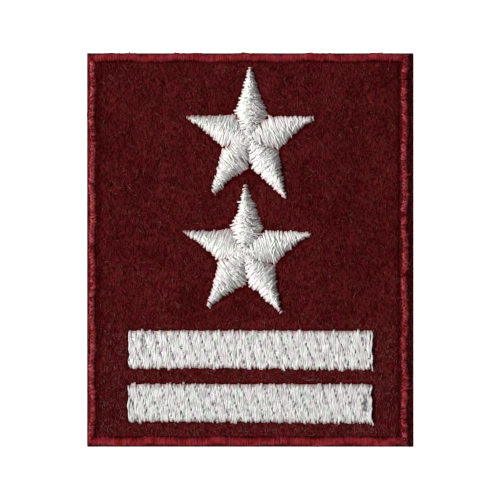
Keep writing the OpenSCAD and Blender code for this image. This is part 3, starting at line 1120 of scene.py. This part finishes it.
    # Soft patches of painted shade, strongest on the side away from the lamp
    patches = patchy * soft_patches(t * 2.2, lateral, rng) * (1.1 - ease(toward * v, 0.0, 0.5))
    slack = lay_out(centre, outward, *slack_paths(
        at, reach, height, low[2], crown_form, -toward, loose, rng))
    dives = np.repeat(1 - bases[::-1].T, 2, axis=0)
    sunk_run = np.repeat(ARM_SUNK + TIP_SUNK * ease(at, tip - 1.4, tip + 0.2), 2)[:, None]
    strands = [(paths, ahead, dives, sunk_run, ply), (slack, ahead, 0, ARM_SUNK, SLACK_PLY)]
    if SEWN[i] == max(SEWN):
        hub = hub_paths(centre, HUB_FULLNESS * crown + 0.03, low[2], rng)
        strands.append((*hub, 0, ARM_SUNK, ARM_PLY[0]))
    paths, across, dives, sunk_run, plies = (
        np.concatenate([np.broadcast_to(strand[k], (len(strand[0]), *shape)) for strand in strands])
        for k, shape in enumerate(((ARM_RINGS, 3), (1, 3), (2,), (1,), (2,))))
    stitches = lay_stitches(paths, across, plies.T[..., None], (sunk_run, sunk_run), dives, rng)
    # dim is painted shade: on the side away from the lamp, in the slits and in the soft patches; ARM_GREY
    # darkens some arms all over
    dim = np.zeros(paths.shape[:2])
    dim[:2 * passes] = shade * (1 - ease(toward * v, -0.1, 0.5)) + slit * slits
    dim[:2 * passes] += np.repeat(patches, 2, axis=0) + ARM_GREY.get((star_name, arm), 0)

    # The cushion, notched where passes fall short
    pad_t = np.linspace(0.1, tip - 0.9, 40)
    pad_edges = np.array([kite_half_width(pad_t, *kite) for kite in kites]) - PAD_INSET
    pad_edges -= give_way(pad_t, [(flaw_at, side, max(short, 0)) for flaw_at, side, short in flaws])
    pad_high = np.interp(pad_t, at, height) - pad_sink
    pad = padding(centre, outward, pad_t, np.maximum(pad_edges, 0.05), pad_high, low[2],
                  gable(PAD_V, *crown_form))
    piece = fill_stitched(
        f"{star_name}_star_{arm}_stitches", stitches, pad, (0, 0.9), (0, shade), dim)
    piece.data.materials.append(white_thread)
    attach(piece, "root")
    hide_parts(f"{star_name}_star_{arm}_arm")


star_rng = np.random.default_rng(21)
for star_name in STARS:
    for i in range(len(ARM_NAMES)):
        star_arm(star_name, i, star_rng)


# Bars
# Each bar is a block of fill stitch: rows of white thread run across it, and each row is tacked
# down through the cloth every 4.2 mm, one row's tacks a little lower than the last one's.

ROW_PITCH = 0.22
ROW_RINGS = 30
ROW_PLY = (0.092, 0.022)
ROW_GAP = 0.11
ROW_HALF = 0.13
ROW_SUNK = 0.9
TACK_SPACING = 4.19
TACK_STEP = 0.635
TACK_HALF = 0.23
# How far a tack pushes the rows beside it aside, how deep it goes, how much painted shade its hole
# gets, and how much its row's rings crowd together, of all that they can
TACK_OPEN = 0.04
TACK_DEPTH = 0.12
TACK_SHADE = 0.92
TACK_CROWD = 0.7
# How hard every other row is pulled down at its tacks, and how hard the rows between them
TACK_PULL = {"upper_bar": (0.95, 0.55), "lower_bar": (0.7, 0.6)}
# How grey each bar is, and how much greyer its soft patches are
BAR_GREY = {"upper_bar": 0.0, "lower_bar": 0.05}
BAR_PATCH_GREY = 0.2
# Painted shade in flecks, as where a row sinks a little between its neighbours; the rows do not move there
ROW_FLECKS = 0.35
# Where two rows part: x and y, half the length of the gap, and how far each row gives way. How
# much painted shade the gap gets grows with that, times GAP_GREY.
ROW_GAPS = {"upper_bar": [(-13.68, -12.2, 1.3, 0.06)], "lower_bar": [(14.6, -19.4, 1.0, 0.11)]}
GAP_GREY = 16
# Where a row's loop stands out at the top edge, and how far
ROW_LOOPS = {
    "upper_bar": [(-13.74, 0.35)],
    "lower_bar": [(-14.76, 0.3), (-10.06, 0.35), (-8.41, 0.3), (-7.01, 0.25)],
}
BAR_PAD_SINK = 0.08


def from_nearest(way):
    """How far a place lies from the nearest tack, given its way from any one of the row's."""
    return (way + TACK_SPACING / 2) % TACK_SPACING - TACK_SPACING / 2


def bar_piece(name, first_tack, rng):
    """Rows from one long edge of the bar to the other, side by side along it, over padding.

    A row's height is level between its ends, where it dives, with a narrow dip at each tack: the
    depth times a bell curve of the distance from it. Its rings crowd together there, by a sine of
    that distance. Rows meet in pairs at a shared hole at each edge, and a row bends away from the
    tacks of the two beside it. To the right the lower edge runs lower, and its corner is drawn out.
    """
    low, high = bar_boxes[name]
    height = high[2] - low[2]
    count = int((high[0] - low[0]) / ROW_PITCH)
    number = np.arange(count)[:, None]
    x0 = low[0] + (number + 0.5) * (high[0] - low[0]) / count
    odd = number % 2 * 2 - 1
    corner = bell(x0, high[0], 0.3)
    top = high[1] + rng.normal(0.02, 0.08, (count, 1))
    bottom = low[1] + rng.normal(-0.14, 0.08, (count, 1)) - 0.2 * ease(x0, -6, 15) - 0.35 * corner
    for loop_x, loop_out in ROW_LOOPS[name]:
        top += loop_out * bell(x0, loop_x, ROW_HALF)
    tack = first_tack - TACK_STEP * number + rng.normal(0, 0.07, (count, 1))
    evenly = bottom + (top - bottom) * np.linspace(0, 1, ROW_RINGS)
    inside = ease(1 - np.abs(np.linspace(-1, 1, ROW_RINGS)), 0, 0.1)
    crowd = TACK_CROWD * TACK_SPACING / (2 * np.pi) * inside
    y = evenly - crowd * np.sin(2 * np.pi * (evenly - tack) / TACK_SPACING)
    v = 2 * (y - bottom) / (top - bottom) - 1
    wave = 0.05 * np.sin(2.2 * y + 0.9 * x0)
    wave += 0.03 * np.sin(5 * y + 2.7 * x0 + rng.uniform(0, 6, (count, 1)))
    x = x0 + ROW_PITCH / 2 * 0.4 * odd * v ** 5 + wave + rng.normal(0, 0.02, (count, 1))
    x += 0.32 * corner * ease(-v, 0.55, 0.9)
    dip = bell(from_nearest(y - tack), 0, TACK_HALF)
    arch = np.maximum(1 - np.abs(v) ** 9, 0) ** 0.6
    rise = (height - ROW_PLY[1] + DIVE) * arch + rng.normal(0, 0.014, (count, 1)) * arch
    pull = np.where(odd < 0, *TACK_PULL[name])
    pulled = pull * rng.uniform(0.3, 1.5, (count, ROW_RINGS))
    which_tack = ((y - tack) // TACK_SPACING).astype(int) % ROW_RINGS
    pulled = np.take_along_axis(pulled, which_tack, axis=1) * dip
    for beside in (1, -1):
        dip_beside = bell(from_nearest(y - np.roll(tack, beside)), 0, TACK_HALF)
        x += beside * TACK_OPEN * np.roll(pull, beside) * dip_beside
    z = low[2] - DIVE + rise - TACK_DEPTH * pulled * arch
    # Grey and painted shade, towards the crevice colour: the bar's grey and soft grey patches, and painted
    # shade at the tacks' holes, in flecks and in the gaps
    grey_and_painted_shade = BAR_GREY[name] + BAR_PATCH_GREY * soft_patches(x, y, rng) + TACK_SHADE * pulled
    grey_and_painted_shade += ROW_FLECKS * np.clip(rng.normal(-0.8, 1, (count, ROW_RINGS)), 0, 1)
    for gap_x, gap_y, gap_half, opening in ROW_GAPS[name]:
        near = opening * bell(y, gap_y, gap_half, power=4)
        spotty = GAP_GREY * rng.uniform(0.2, 1.4, (count, ROW_RINGS))
        grey_and_painted_shade += spotty * near * bell(x, gap_x, ROW_HALF)
        x += near * np.tanh((x - gap_x) / 0.08) * bell(x, gap_x, 0.5)
    ahead = np.array([1.0, 0, 0])
    paths = two_plies(np.stack([x, y, z], axis=-1), ahead, ROW_GAP, 0.03, 0.008, 0.5, rng)
    stitches = lay_stitches(paths, ahead, ROW_PLY, (ROW_SUNK, ROW_SUNK), np.ones((2 * count, 2)), rng)
    pad_x = np.array([low[0] + 0.25, low[0] + 0.4, high[0] - 0.4, high[0] - 0.25])
    pad_edges = np.full((2, 4), (high[1] - low[1]) / 2 - 0.02)
    pad_high = (height - BAR_PAD_SINK) * np.array([0.5, 1, 1, 0.5])
    origin = np.array([0, (low[1] + high[1]) / 2])
    pad = padding(origin, ahead[:2], pad_x, pad_edges, pad_high, low[2], 1 - np.abs(PAD_V) ** 12)
    piece = fill_stitched(
        f"{name}_stitches", stitches, pad, (0, 0.9), (0, 0), np.repeat(grey_and_painted_shade, 2, axis=0))
    piece.data.materials.append(white_thread)
    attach(piece, "root")
    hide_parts(name)


bar_rng = np.random.default_rng(33)
bar_piece("upper_bar", 2.57, bar_rng)
bar_piece("lower_bar", 2.62, bar_rng)


# Floor, light and camera
# A sheet of white paper under the piece, one long soft lamp low on the left, and a camera
# straight above, far off with a long lens, as a flat scan sees it.

FLOOR_HALF = 400.0


def floor_piece():
    """The paper lies 0.02 mm under the cloth, and from below it is clear, so that the back shows."""
    corners = ((-1, -1), (1, -1), (1, 1), (-1, 1))
    points = np.array([[FLOOR_HALF * x, FLOOR_HALF * y, -0.02] for x, y in corners])
    floor = fill_piece("floor", points, [np.array([[0, 1, 2, 3]])])
    material = new_material("white_paper")
    skin = add_node(material, "ShaderNodeBsdfPrincipled", {
        "Base Color": linear("#FAFAFA"),
        "Roughness": 0.9,
        "Emission Color": linear("#FFFFFF"),
        "Emission Strength": 1.0,
    })
    below = add_node(material, "ShaderNodeNewGeometry", output="Backfacing")
    clear = add_node(material, "ShaderNodeBsdfTransparent")
    paper = add_node(material, "ShaderNodeMixShader", {0: below, 1: skin, 2: clear})
    add_node(material, "ShaderNodeOutputMaterial", {"Surface": paper})
    floor.data.materials.append(material)
    floor.visible_diffuse = False
    floor.visible_glossy = False


floor_piece()

LAMP_ELEVATION = 36
LAMP_DISTANCE = 0.9
lamp_data = bpy.data.lights.new("long_lamp", "AREA")
lamp_data.shape = "RECTANGLE"
lamp_data.size = 0.16
lamp_data.size_y = 1.2
lamp_data.energy = 13.1
lamp = bpy.data.objects.new("long_lamp", lamp_data)
lamp_out = direction(180 - LAMP_ELEVATION)
lamp.location = (lamp_out[0] * LAMP_DISTANCE, 0, lamp_out[1] * LAMP_DISTANCE)
lamp.rotation_euler = (0, -math.radians(90 - LAMP_ELEVATION), 0)
bpy.context.scene.collection.objects.link(lamp)

world = bpy.data.worlds.new("soft_room")
world.use_nodes = True
world.node_tree.nodes["Background"].inputs["Color"].default_value = (1, 1, 1, 1)
world.node_tree.nodes["Background"].inputs["Strength"].default_value = 0.23
bpy.context.scene.world = world
bpy.context.scene.view_settings.view_transform = "Standard"

VIEW_WIDTH = 63.5
camera_data = bpy.data.cameras.new("camera")
camera_data.lens = 400
camera_data.sensor_width = 36
camera = bpy.data.objects.new("camera", camera_data)
distance = VIEW_WIDTH * camera_data.lens / camera_data.sensor_width
camera.location = (-0.03 * MM, 0, (distance + cloth_t) * MM)
bpy.context.scene.collection.objects.link(camera)
bpy.context.scene.camera = camera
